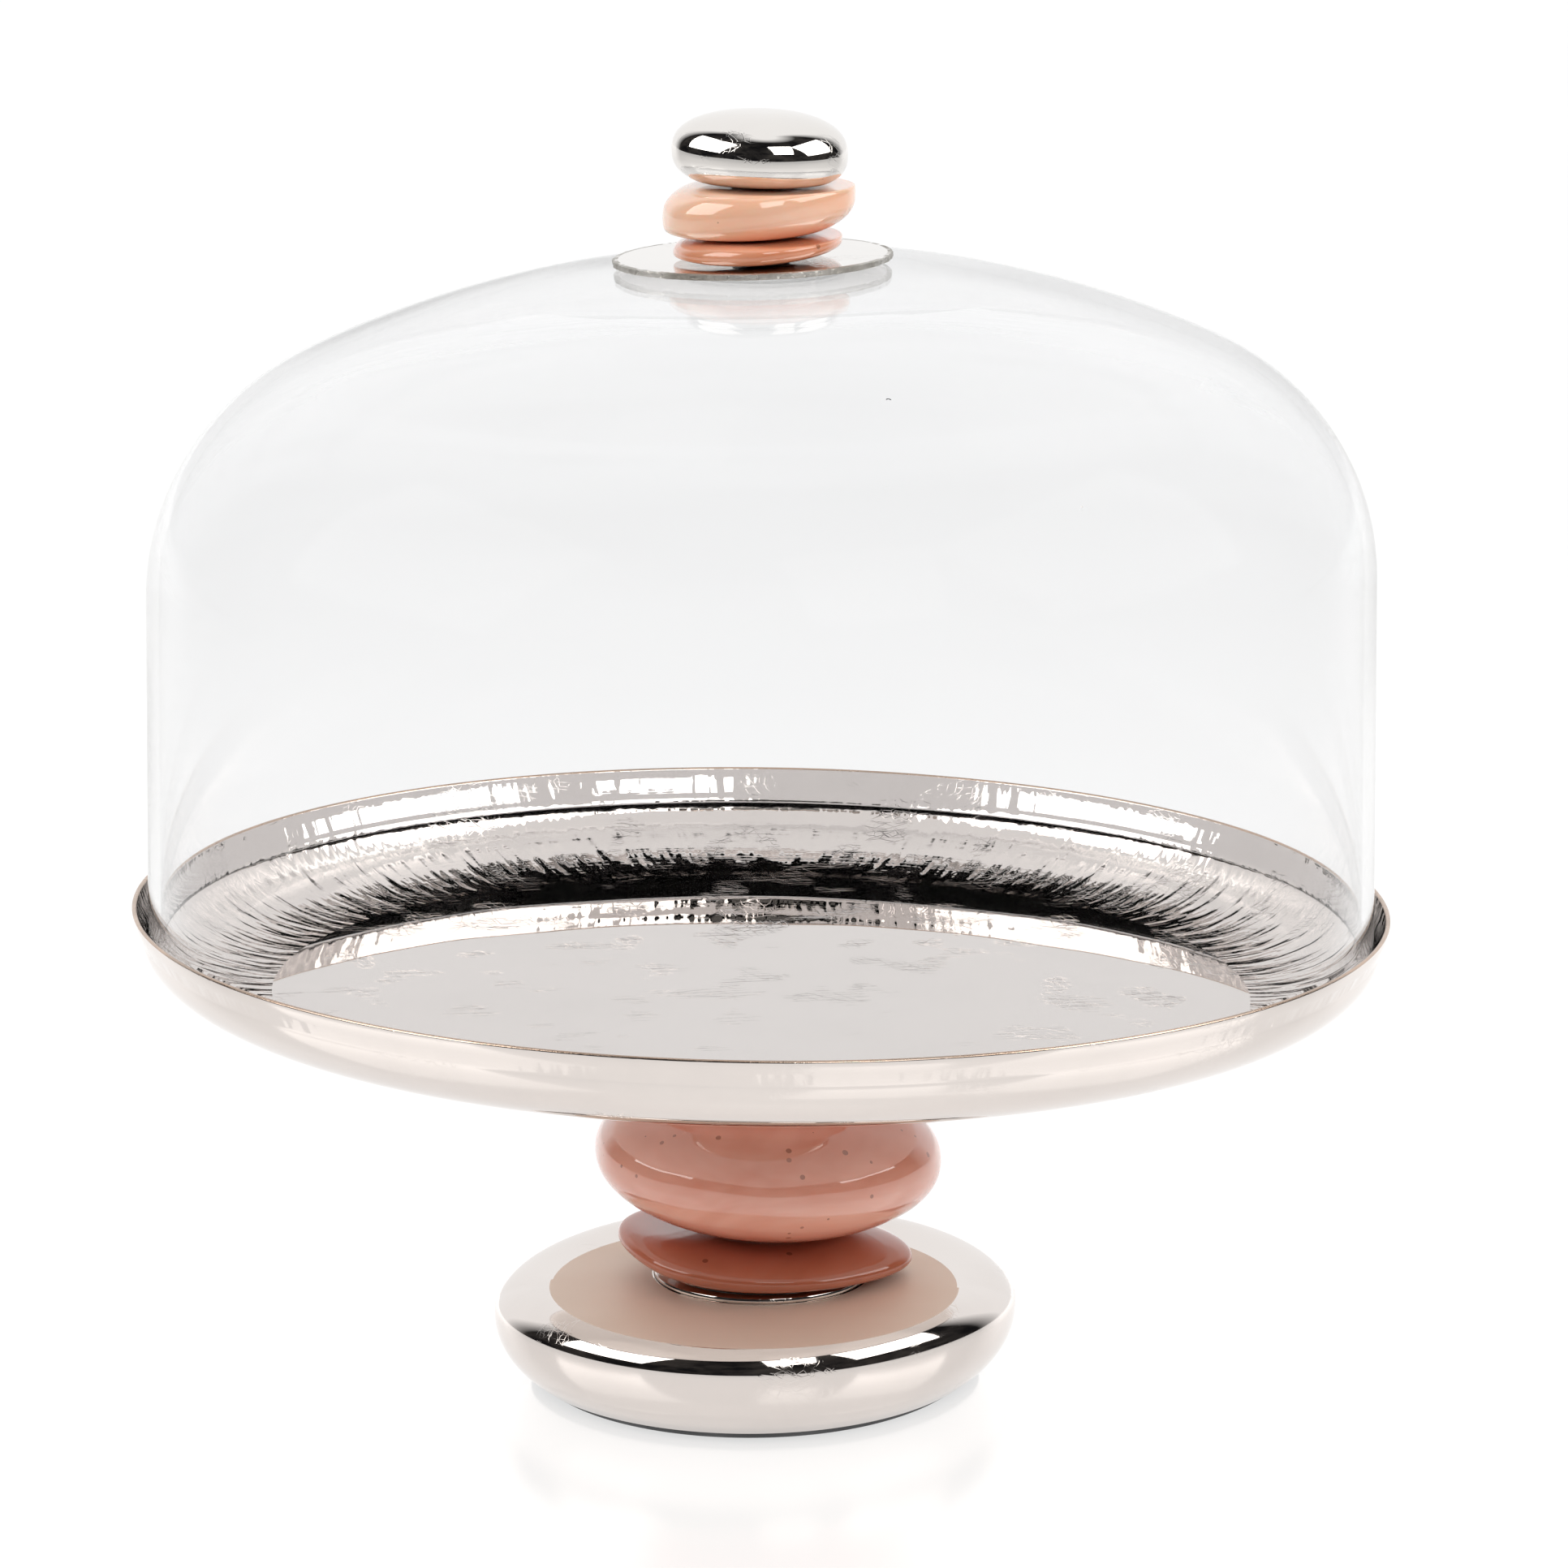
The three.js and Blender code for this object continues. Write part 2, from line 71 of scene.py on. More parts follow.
# The dome's section is a flat top that falls away by a power of the radius, a wide crown arc, a tighter
# shoulder arc and a straight wall. It leans as the tray does at the start height, and its own way when full.
DOME_GLASS = 3.0
DOME_FOOT_HEIGHT = 109.5
DOME_FOOT_RADIUS = 146.2
DOME_SHOULDER_RADIUS = 145.45
DOME_SHOULDER_HEIGHT = 195.8
DOME_SHOULDER_ARC = 59.5
DOME_CROWN_ARC = 263.6
DOME_FLAT_BLEND = 60.0
DOME_FLAT_POWER = 3.12
DOME_FLAT_TOP = 271.9
DOME_LEAN = 0.017
DOME_LEAN_START = 120.0
DOME_LEAN_FULL = 200.0

SAUCER_LEAN_X = 0.03
SAUCER_LEAN_Y = -0.02
SAUCER_OFFSET = -2.0

COLLAR_RADIUS = 26.0
COLLAR_PLAY = 0.4
BASE_SEAT = 25.0
BASE_WALL = 2.3
BASE_INNER_PAD = 19.4
BASE_INNER_PAD_RADIUS = 29.0
PAD_WIDTH = 9.0

# The base below its widest level: plan centre, that level, half widths, depth, power and lobes. A lobe is a
# count round the plan, a size as a share of the half width, and an angle in degrees.
BASE = dict(x=-1.2, y=-0.5, waist=17.6, half_x=62.8, half_y=60.5, down=26.3, power_down=2.33,
            lobes=[(2, 0.03, 45), (3, 0.025, -84)])
# The oval face ground on top of the base, and the shoulder that turns in to it through an angle in degrees
# and swells by so many millimetres at the back.
FACE = dict(x=-1.7, y=-11.0, half_x=49.0, half_y=48.0, level=26.1, lean=0.028)
SHOULDER_TURN = 55.0
SHOULDER_SWELL = 5.0

# A pebble's plan centre, widest height, half widths, heights above and below, powers, lean and lobes.
LOWER = dict(x=-0.5, y=-1.0, waist=32.3, half_x=35.0, half_y=27.0, up=6.6, down=6.3, power_up=2.2,
             power_down=2.0, lean_x=-0.065, lean_y=0.06, lobes=[(2, 0.02, -40), (3, 0.06, -108)])
MIDDLE = dict(x=1.6, y=0.0, waist=55.0, half_x=42.2, half_y=38.0, up=18.6, down=17.6, power_up=2.15,
              power_down=2.12, lean_x=-0.045, lean_y=0.02, lobes=[(2, 0.02, 60), (3, 0.02, 30)])
TOP = dict(x=-0.5, y=0.5, waist=81.8, half_x=29.5, half_y=27.0, up=8.6, down=8.6, power_up=2.15,
           power_down=2.15, lean_x=0.05, lean_y=-0.02, lobes=[(2, 0.02, 20), (3, 0.025, 70)])
KNOB_LOWER = dict(x=-0.8, y=-4.0, waist=276.9, half_x=19.9, half_y=23.0, up=4.4, down=2.9, power_up=3.0,
                  power_down=3.4, lean_x=0.09, lean_y=-0.02, lobes=[(3, 0.02, -90)])
KNOB_UPPER = dict(x=-0.9, y=-2.0, waist=286.0, half_x=22.5, half_y=20.5, up=8.4, down=8.6, power_up=2.8,
                  power_down=2.7, lean_x=0.13, lean_y=0.0, lobes=[(2, 0.015, 30), (3, 0.02, 10)])
CAP = dict(x=0.1, y=-0.5, waist=298.6, half_x=21.0, half_y=18.0, up=9.6, down=8.8, power_up=2.4,
           power_down=2.6, lean_x=-0.03, lean_y=0.02, lobes=[(2, 0.015, 100), (3, 0.02, -60)])


# ------------------------------------------------ meshes, all worked out in millimetres

def box_mm(node):
    """The low and high corners of a CAD node's box, in millimetres."""
    low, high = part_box(node)
    return low / MM, high / MM


def angles(across):
    return np.arange(across) / across * TURN


def circle(radius, height, across, x=0.0):
    """One ring of points. radius and height may be numbers or one value for each point."""
    turn = angles(across)
    return np.stack([x + radius * np.cos(turn), radius * np.sin(turn), height + 0 * turn], axis=1)


def joined(rings, start_pole=None, end_pole=None, closed=False):
    """Points and faces of the skin through rings of equal length. A pole is a point that closes an end."""
    across = len(rings[0])
    points = [tuple(p) for ring in rings for p in ring]
    faces = []
    pairs = [(i, i + 1) for i in range(len(rings) - 1)]
    if closed:
        pairs.append((len(rings) - 1, 0))
    for low, high in pairs:
        for i in range(across):
            j = (i + 1) % across
            faces.append((low * across + i, low * across + j, high * across + j, high * across + i))
    if start_pole is not None:
        points.append(start_pole)
        for i in range(across):
            faces.append((len(points) - 1, (i + 1) % across, i))
    if end_pole is not None:
        points.append(end_pole)
        last = (len(rings) - 1) * across
        for i in range(across):
            faces.append((len(points) - 1, last + i, last + (i + 1) % across))
    return points, faces


def piece(name, skin, materials, body, node, pick=None, sharp=40):
    """A mesh object that stands for a CAD node. pick gives a face's material from its centre, in mm."""
    points, faces = skin
    mesh = bpy.data.meshes.new(name)
    mesh.from_pydata([(x * MM, y * MM, z * MM) for x, y, z in points], [], faces)
    mesh.validate()
    for material in materials:
        mesh.materials.append(material)
    mesh.polygons.foreach_set("use_smooth", [True] * len(mesh.polygons))
    if pick is not None:
        for polygon in mesh.polygons:
            polygon.material_index = pick(polygon.center / MM)
    mesh.set_sharp_from_angle(angle=math.radians(sharp))
    made = bpy.data.objects.new(name, mesh)
    bpy.context.scene.collection.objects.link(made)
    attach(made, body)
    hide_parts(node)
    return made


def turned(outline, across, lean=None):
    """A lathe skin. The outline runs up the outside as (radius, height); ends on the axis become poles."""
    outline = list(outline)
    start = outline.pop(0)[1] if outline[0][0] == 0 else None
    end = outline.pop()[1] if outline[-1][0] == 0 else None
    rings = [circle(radius, height, across) for radius, height in outline]
    if lean is not None:
        for ring in rings:
            ring[:, 2] += lean(ring[:, 2]) * ring[:, 0]
    return joined(
        rings,
        None if start is None else (0, 0, start),
        None if end is None else (0, 0, end),
        closed=start is None and end is None,
    )


def washer(node, bore, across=48, chamfer=0.2):
    """A flat ring with the outer size and the levels of a CAD node."""
    low, high = box_mm(node)
    outer = (high.x - low.x) / 2
    soft = min(chamfer, (high.z - low.z) / 3)
    rounding = 0.3 * soft
    return turned([
        (bore, low.z + soft),
        (bore + soft, low.z),
        (outer - soft, low.z),
        (outer - rounding, low.z + rounding),
        (outer, low.z + soft),
        (outer, high.z - soft),
        (outer - rounding, high.z - rounding),
        (outer - soft, high.z),
        (bore + soft, high.z),
        (bore, high.z - soft),
    ], across)


def squared(value, power):
    """A sine or cosine bent from a round curve, power 2, towards a boxier one."""
    return np.sign(value) * np.abs(value) ** (2 / power)


def plan_reach(spec, turn):
    """How far a plan's lobes carry it at an angle, as a share of its half width."""
    reach = 1.0 + 0 * turn
    for count, size, angle in spec["lobes"]:
        reach = reach * (1 + size * np.cos(count * (turn - math.radians(angle))))
    return reach


def pebble_ring(spec, slope, across):
    """The ring of a pebble at a slope in radians, a quarter turn down at its bottom and up at its top."""
    turn = angles(across)
    sine, cosine = math.sin(slope), math.cos(slope)
    power = spec["power_up"] if sine > 0 else spec["power_down"]
    rise = squared(sine, power) * (spec["up"] if sine > 0 else spec["down"])
    reach = squared(cosine, power) * plan_reach(spec, turn)
    x = spec["half_x"] * reach * np.cos(turn)
    y = spec["half_y"] * reach * np.sin(turn)
    z = spec["waist"] + rise + spec["lean_x"] * x + spec["lean_y"] * y
    return np.stack([x + spec["x"], y + spec["y"], z], axis=1)


def soft_limit(value, limit, blend, side):
    """value held above limit (side 1) or below it (side -1), turning smoothly over blend millimetres."""
    over = side * (value - limit)
    share = np.clip(0.5 + 0.5 * over / blend, 0, 1)
    return limit + side * (over * share + blend * share * (1 - share))


def waves(ring, size, scale, seed):
    """Moves a ring's points in and out by up to size, as a hand-shaped surface wanders."""
    moved = ring.copy()
    centre = ring.mean(axis=0)
    for i, point in enumerate(ring):
        out = point - centre
        flat = math.hypot(out[0], out[1])
        if flat < NEAR_ZERO:
            continue
        lift = size * noise.noise(Vector(point) / scale + Vector((seed, 2 * seed, 3 * seed)))
        moved[i, 0] += lift * out[0] / flat
        moved[i, 1] += lift * out[1] / flat
    return moved


def drilled_pebble(spec, node, bore, seed, wander=0.35):
    """A glass pebble, ground flat where it is clamped and drilled for the rod. wander is its unevenness."""
    low, high = box_mm(node)
    across, steps, steepest = 128, 64, math.radians(84)
    rounding, wave_length = 1.2, 14.0
    chamfer, chamfer_depth = 0.3, 0.15
    skin = [circle(bore, low.z + chamfer_depth, across), circle(bore + chamfer, low.z, across)]
    for i in range(steps + 1):
        slope = steepest * (2 * i / steps - 1)
        ring = waves(pebble_ring(spec, slope, across), wander, wave_length, seed)
        ring[:, 2] = soft_limit(ring[:, 2], low.z, rounding, 1)
        ring[:, 2] = soft_limit(ring[:, 2], high.z, rounding, -1)
        skin.append(ring)
    skin.append(circle(bore + chamfer, high.z, across))
    skin.append(circle(bore, high.z - chamfer_depth, across))
    return joined(skin, closed=True)


# ------------------------------------------------ materials

def add(tree, kind, inputs=None, **settings):
    """A shader node. inputs maps an input's name or number to a value or to another node's output."""
    made = tree.nodes.new(kind)
    for key, value in settings.items():
        setattr(made, key, value)
    for key, value in (inputs or {}).items():
        if isinstance(value, bpy.types.NodeSocket):
            tree.links.new(value, made.inputs[key])
        else:
            made.inputs[key].default_value = value
    return made


def sums(tree, operation, first, second=0.0):
    """One step of arithmetic, such as MULTIPLY, ADD or MAXIMUM."""
    return add(tree, "ShaderNodeMath", {0: first, 1: second}, operation=operation).outputs[0]


def scale_to(tree, value, low, high, to_low, to_high):
    """value mapped from low..high to to_low..to_high and held inside it."""
    return add(tree, "ShaderNodeMapRange", {
        "Value": value, "From Min": low, "From Max": high, "To Min": to_low, "To Max": to_high,
    }).outputs[0]


def blended(tree, share, first, second):
    """The first colour where share is 0, turning into the second where it is 1."""
    return add(tree, "ShaderNodeMix", {0: share, 6: first, 7: second}, data_type="RGBA").outputs[2]


def darker(colour, share):
    return tuple(channel * share for channel in colour[:3]) + (1,)


def multiplied(tree, place, factors):
    return add(tree, "ShaderNodeVectorMath", {0: place, 1: factors}, operation="MULTIPLY").outputs[0]


def length(tree, place):
    """The distance of a place from the origin."""
    return add(tree, "ShaderNodeVectorMath", {0: place}, operation="LENGTH").outputs[1]


def object_place(tree):
    return add(tree, "ShaderNodeTexCoord").outputs["Object"]


def stretched(tree, x=1, y=1, z=1):
    """Object coordinates in metres, multiplied by x, y and z."""
    return multiplied(tree, object_place(tree), (x, y, z))


def spun(tree, around, out, up):
    """Coordinates that follow a lathe: turn about the axis, radius and height, each scaled."""
    place = object_place(tree)
    parts = add(tree, "ShaderNodeSeparateXYZ", {0: place})
    turn = sums(tree, "ARCTAN2", parts.outputs[1], parts.outputs[0])
    radius = length(tree, multiplied(tree, place, (1, 1, 0)))
    return add(tree, "ShaderNodeCombineXYZ", {
        0: sums(tree, "MULTIPLY", turn, around),
        1: sums(tree, "MULTIPLY", radius, out),
        2: sums(tree, "MULTIPLY", parts.outputs[2], up),
    }).outputs[0]


def cloud(tree, place, scale, detail=3.0, rough=0.5, distortion=0.0):
    """Smooth noise, mostly between 0.3 and 0.7."""
    return add(tree, "ShaderNodeTexNoise", {
        "Vector": place, "Scale": scale, "Detail": detail, "Roughness": rough, "Distortion": distortion,
    }).outputs[0]


def specks(tree, place, scale, share, size):
    """The distance to the nearest speck's middle and that speck's radius, both in cells. The radius is 0
    for all but a share of the specks, and size for the largest."""
    cells = add(tree, "ShaderNodeTexVoronoi", {"Vector": place, "Scale": scale})
    chance = add(tree, "ShaderNodeSeparateColor", {0: cells.outputs["Color"]}).outputs[0]
    return cells.outputs["Distance"], scale_to(tree, chance, 1 - share, 1.0, 0.0, size)


def bumped(tree, height, strength, distance, under=None):
    """A surface normal tilted by the slope of height. under is the normal that it adds to."""
    inputs = {"Height": height, "Strength": strength, "Distance": distance}
    if under is not None:
        inputs["Normal"] = under
    return add(tree, "ShaderNodeBump", inputs).outputs[0]


def scratches(tree, seed):
    """A few thin lines in two directions, 1 on a scratch and 0 off it."""
    patch_scale, line_scale, line_width = 60.0, 480.0, 0.035
    axis, squeeze = (0.3, 0.2, 1), (1, 0.06, 1)
    place = object_place(tree)
    patch = scale_to(tree, cloud(tree, place, patch_scale, detail=1.0), 0.56, 0.66, 0.0, 1.0)
    lines = []
    for turn in (0.4, 1.9):
        along = add(tree, "ShaderNodeVectorRotate", {
            "Vector": place, "Axis": axis, "Angle": turn + seed,
        }).outputs[0]
        edge = add(tree, "ShaderNodeTexVoronoi", {
            "Vector": multiplied(tree, along, squeeze), "Scale": line_scale,
        }, feature="DISTANCE_TO_EDGE").outputs["Distance"]
        lines.append(sums(tree, "MULTIPLY", scale_to(tree, edge, 0.0, line_width, 1.0, 0.0), patch))
    return sums(tree, "MAXIMUM", *lines)


def blank_tree(owner):
    """The node tree of a material or a world, emptied."""
    owner.use_nodes = True
    owner.node_tree.nodes.clear()
    return owner.node_tree


def new_material(name):
    """A new material and its empty node tree."""
    material = bpy.data.materials.new(name)
    return material, blank_tree(material)


def show(tree, shader):
    """Makes a shader the surface of its material."""
    add(tree, "ShaderNodeOutputMaterial", {0: shader.outputs[0]})


def polished_metal(name, colour, seed, wave, haze=0.03, spin=0.0):
    """Hand-polished plate: slow waves, faint haze and hairline scratches. spin adds what a lathe leaves,
    fine grooves round the axis and short waves across them."""
    wave_scale, smear_scale = 16.0, 30.0
    wave_height, groove_height, jag_height, scratch_height = 0.002, 0.001, 0.0015, 0.0002
    groove_depth, scratch_depth, scratch_haze, haze_range = 0.2, 0.12, 0.12, 2.4
    material, tree = new_material(name)
    place = stretched(tree)
    marks = scratches(tree, seed)
    normal = bumped(tree, cloud(tree, place, wave_scale + seed, detail=1.0), wave, wave_height)
    if spin > 0:
        around_axis = spun(tree, around=1.6, out=260.0, up=260.0)
        grooves = cloud(tree, around_axis, 1.0, rough=0.6, distortion=0.4)
        normal = bumped(tree, grooves, spin * groove_depth, groove_height, normal)
        across_grooves = spun(tree, around=34.0, out=60.0, up=60.0)
        jags = cloud(tree, across_grooves, 1.0, detail=1.5, rough=0.6)
        normal = bumped(tree, jags, spin, jag_height, normal)
    normal = bumped(tree, marks, scratch_depth, scratch_height, normal)
    smears = cloud(tree, place, smear_scale, detail=4.0, rough=0.6)
    hazy = scale_to(tree, smears, 0.4, 0.75, haze, haze * haze_range)
    dulled = scale_to(tree, smears, 0.45, 0.8, 0.0, 0.5)
    show(tree, add(tree, "ShaderNodeBsdfPrincipled", {
        "Base Color": blended(tree, dulled, colour, darker(colour, 0.9)),
        "Metallic": 1.0,
        "Roughness": sums(tree, "ADD", hazy, sums(tree, "MULTIPLY", marks, scratch_haze)),
        "Normal": normal,
    }))
    return material


def pebble_glass(name, deep, pale, seed, bubbles, soft=0.25, coat=0.8):
    """Cast coloured glass: clouded body, tiny dark bubbles and a smooth fire-polished skin. bubbles is the
    share of specks that show, soft the share of the light that scatters inside."""
    layer_scale, layer_squash = 22.0, 2.6
    bubble_scale, bubble_size, bubble_dark = 300.0, 0.24, 0.75
    material, tree = new_material(name)
    place = stretched(tree)
    layers = cloud(tree, stretched(tree, z=layer_squash), layer_scale + seed, distortion=0.6)
    body = blended(tree, scale_to(tree, layers, 0.35, 0.7, 0.0, 1.0), deep, pale)
    distance, radius = specks(tree, place, bubble_scale, bubbles, bubble_size)
    bubble = sums(tree, "LESS_THAN", distance, radius)
    normal = bumped(tree, cloud(tree, place, 45.0, detail=2.0), 0.12, 0.0015)
    show(tree, add(tree, "ShaderNodeBsdfPrincipled", {
        "Base Color": blended(tree, sums(tree, "MULTIPLY", bubble, bubble_dark), body, darker(deep, 0.45)),
        "Roughness": scale_to(tree, cloud(tree, place, 70.0), 0.4, 0.7, 0.02, 0.06),
        "Normal": bumped(tree, bubble, -0.3, 0.0003, normal),
        "IOR": 1.5,
        "Subsurface Weight": soft,
        "Subsurface Radius": (1.0, 0.45, 0.3),
        "Subsurface Scale": 0.004,
        "Coat Weight": coat,
        "Coat Roughness": 0.01,
        "Coat IOR": 1.6,
    }))
    return material


def blown_glass(name):
    """Clear blown glass: slow waves in the wall and a few seeds. It mirrors less than plain glass where it
    faces the view, and as much at a glancing angle. Shadow and diffuse rays pass straight through."""
    refraction, mirror_haze = 1.47, 0.03
    clear, white, shade = (0.96, 0.961, 0.963, 1), (1, 1, 1, 1), (0.93, 0.935, 0.935, 1)
    material, tree = new_material(name)
    place = stretched(tree)
    normal = bumped(tree, cloud(tree, place, 9.0, detail=1.0), 0.08, 0.004)
    distance, radius = specks(tree, place, 70.0, 0.1, 0.05)
    seed = scale_to(tree, sums(tree, "SUBTRACT", radius, distance), 0.0, 0.02, 0.0, 1.0)
    normal = bumped(tree, seed, 0.4, 0.0005, normal)
    rough = scale_to(tree, cloud(tree, place, 25.0), 0.5, 0.8, 0.0, 0.02)
    bent = add(tree, "ShaderNodeBsdfRefraction", {
        "Color": clear, "IOR": refraction, "Roughness": rough, "Normal": normal,
    })
    mirrored = add(tree, "ShaderNodeBsdfAnisotropic", {
        "Color": white, "Roughness": mirror_haze, "Normal": normal,
    })
    fresnel = add(tree, "ShaderNodeFresnel", {"IOR": refraction, "Normal": normal}).outputs[0]
    share = sums(tree, "MULTIPLY", fresnel, scale_to(tree, fresnel, 0.05, 0.3, 0.05, 1.0))
    glass = add(tree, "ShaderNodeMixShader", {0: share, 1: bent.outputs[0], 2: mirrored.outputs[0]})
    through = add(tree, "ShaderNodeBsdfTransparent", {0: shade})
    rays = add(tree, "ShaderNodeLightPath")
    passed = sums(tree, "MAXIMUM", rays.outputs["Is Shadow Ray"], rays.outputs["Is Diffuse Ray"])
    show(tree, add(tree, "ShaderNodeMixShader", {
        0: passed, 1: glass.outputs[0], 2: through.outputs[0],
    }))
    return material


def plain_skin(name, colour, other, seed, rough, metal=0.0, bump=0.2, scale=200.0, clear=0.0):
    """A simple worked surface: mottled colour, uneven roughness and a fine grain."""
    material, tree = new_material(name)
    place = stretched(tree)
    patches = cloud(tree, place, scale * 0.3 + seed)
    grain = cloud(tree, place, scale * 6, detail=4.0, rough=0.6)
    show(tree, add(tree, "ShaderNodeBsdfPrincipled", {
        "Base Color": blended(tree, scale_to(tree, patches, 0.35, 0.7, 0.0, 1.0), colour, other),
        "Roughness": scale_to(tree, patches, 0.35, 0.7, rough[0], rough[1]),
        "Metallic": metal,
        "Transmission Weight": clear,
        "Normal": bumped(tree, grain, bump, 0.0003),
    }))
    return material


NICKEL = (0.785, 0.727, 0.692, 1)
nickel_tray = polished_metal("nickel_tray", NICKEL, 1.0, wave=0.1, haze=0.014)
nickel_wall = polished_metal("nickel_wall", NICKEL, 1.0, spin=0.3, wave=0.2, haze=0.012)
nickel_base = polished_metal("nickel_base", NICKEL, 3.0, wave=0.25)
# The face's cream colour is a painted reflection of the tray's underside; its satin roughness is its own.
satin_face_painted_reflection = plain_skin("nickel_face_painted_reflection", (0.92, 0.80, 0.69, 1), (0.88, 0.75, 0.63, 1), 5.0,
                         rough=(0.48, 0.56), metal=0.35, bump=0.12, scale=60.0)
nickel_small = polished_metal("nickel_small", NICKEL, 5.0, wave=0.15)
nickel_cap = polished_metal("nickel_cap", (0.84, 0.81, 0.78, 1), 2.0, wave=0.12)
rim_metal = plain_skin("rim_worn_to_copper", (0.62, 0.46, 0.36, 1), (0.5, 0.4, 0.33, 1), 2.0,
                       rough=(0.18, 0.35), metal=1.0, bump=0.2)
cut_edge = plain_skin("saucer_rough_edge", (0.62, 0.6, 0.56, 1), (0.3, 0.28, 0.25, 1), 4.0,
                      rough=(0.2, 0.5), metal=1.0, bump=0.9, scale=240.0)
rose_dark = pebble_glass("rose_glass_dark", (0.44, 0.13, 0.065, 1), (0.60, 0.21, 0.13, 1), 1.0,
                         bubbles=0.05, coat=0.2)
rose = pebble_glass("rose_glass", (0.80, 0.31, 0.21, 1), (0.93, 0.47, 0.36, 1), 4.0, bubbles=0.4)
rose_knob = pebble_glass("rose_glass_knob", (0.68, 0.25, 0.12, 1), (0.80, 0.38, 0.24, 1), 6.0,
                         bubbles=0.02)
peach = pebble_glass("peach_glass", (0.95, 0.52, 0.34, 1), (0.97, 0.63, 0.47, 1), 9.0,
                     bubbles=0.016, soft=0.4)
clear_glass = blown_glass("clear_glass")
silicone = plain_skin("clear_silicone", (0.8, 0.8, 0.78, 1), (0.7, 0.7, 0.68, 1), 1.0,
                      rough=(0.12, 0.3), clear=0.6)
rubber = plain_skin("black_rubber", (0.012, 0.012, 0.014, 1), (0.02, 0.02, 0.022, 1), 2.0,
                    rough=(0.55, 0.75), bump=0.5)
steel = plain_skin("plated_steel", (0.5, 0.5, 0.51, 1), (0.36, 0.36, 0.38, 1), 3.0,
                   rough=(0.22, 0.45), metal=1.0, bump=0.3)

# ------------------------------------------------ the stand

# Points in each ring of the base.
BASE_ACROSS = 192


def base_under(level, inset=0.0):
    """The base's ring at a level below its waist."""
    fall = (BASE["waist"] - level) / BASE["down"]
    narrow = (1 - fall ** BASE["power_down"]) ** (1 / BASE["power_down"])
    turn = angles(BASE_ACROSS)
    reach = narrow * plan_reach(BASE, turn)
    return np.stack([
        BASE["x"] + (BASE["half_x"] - inset) * reach * np.cos(turn),
        BASE["y"] + (BASE["half_y"] - inset) * reach * np.sin(turn),
        level + 0 * turn,
    ], axis=1)


def face_height(y, inset=0.0):
    """The level of the base's tilted face, which depends on y alone."""
    return FACE["level"] - inset + FACE["lean"] * y


def base_shoulder(share, inset=0.0):
    """The base's ring between its waist, share 0, and the edge of its face, share 1."""
    turn = angles(BASE_ACROSS)
    waist = base_under(BASE["waist"], inset)
    edge_x = FACE["x"] + (FACE["half_x"] - inset) * np.cos(turn)
    edge_y = FACE["y"] + (FACE["half_y"] - inset) * np.sin(turn)
    full = math.radians(SHOULDER_TURN)
    inward = (1 - math.cos(share * full)) / (1 - math.cos(full))
    upward = math.sin(share * full) / math.sin(full)
    swell = SHOULDER_SWELL * np.maximum(0, np.sin(turn)) * math.sin(math.pi * share)
    return np.stack([
        waist[:, 0] + (edge_x - waist[:, 0]) * inward,
        waist[:, 1] + (edge_y - waist[:, 1]) * inward,
        BASE["waist"] + (face_height(edge_y, inset) - BASE["waist"]) * upward + swell,
    ], axis=1)


def on_face(ring):
    """A ring moved up or down to lie on the base's face."""
    ring[:, 2] = face_height(ring[:, 1])
    return ring


def base_shell():
    """Rounded underside, shoulder, ground face with a pocket for the collar, and the hollow inside."""
    foot = box_mm("base_shell")[0].z
    under_steps, shoulder_steps, face_steps, inside_steps, inside_stride = 30, 26, 10, 12, 3
    # Shares of the way at which extra rings stand next to an edge, so that the edge stays crisp.
    before_edge, after_edge, before_pocket = 0.993, 0.012, 0.985
    pocket_radius = COLLAR_RADIUS + COLLAR_PLAY
    fillet = 0.6

    levels = [foot + (BASE["waist"] - foot) * i / under_steps for i in range(under_steps)]
    outside = [base_under(level) for level in levels]
    outside += [base_shoulder(i / shoulder_steps) for i in range(shoulder_steps)]
    outside.append(base_shoulder(before_edge))

    edge = base_shoulder(1.0)
    pocket_edge = circle(pocket_radius, 0.0, BASE_ACROSS)
    shares = [after_edge] + [i / face_steps for i in range(1, face_steps)] + [before_pocket, 1.0]
    face = [on_face(edge + (pocket_edge - edge) * share) for share in shares]
    pocket = [circle(radius, level, BASE_ACROSS) for radius, level in (
        (pocket_radius, BASE_SEAT),
        (ROD_BORE, BASE_SEAT),
        (ROD_BORE, BASE_INNER_PAD),
        (BASE_INNER_PAD_RADIUS - fillet, BASE_INNER_PAD),
        (BASE_INNER_PAD_RADIUS, BASE_INNER_PAD + fillet),
    )]

    inside = [base_shoulder(1 - i / inside_steps, BASE_WALL) for i in range(inside_steps)]
    inside += [base_under(level, BASE_WALL) for level in [BASE["waist"]] + levels[::-inside_stride]]
    inside.append(base_under(foot, BASE_WALL))
    return joined(outside + face + pocket + inside, closed=True)


def face_pick(centre):
    """1 on the ground face, which carries the painted reflection, 0 elsewhere."""
    within, depth = 0.999, 0.2
    out = math.hypot((centre.x - FACE["x"]) / FACE["half_x"], (centre.y - FACE["y"]) / FACE["half_y"])
    return 1 if out < within and centre.z > face_height(centre.y) - depth else 0


def foot_pad():
    """The rubber ring under the base. Its outer side carries on the base's curve."""
    top = box_mm("foot_pad")[1].z
    bulge = 0.02
    outer_low, outer_high = base_under(0.0), base_under(top)
    rounded = (outer_low + outer_high) / 2 + bulge * (outer_high - outer_low)
    inner_low, inner_high = base_under(0.0, PAD_WIDTH), base_under(top, PAD_WIDTH)
    return joined([inner_low, outer_low, rounded, outer_high, inner_high], closed=True)


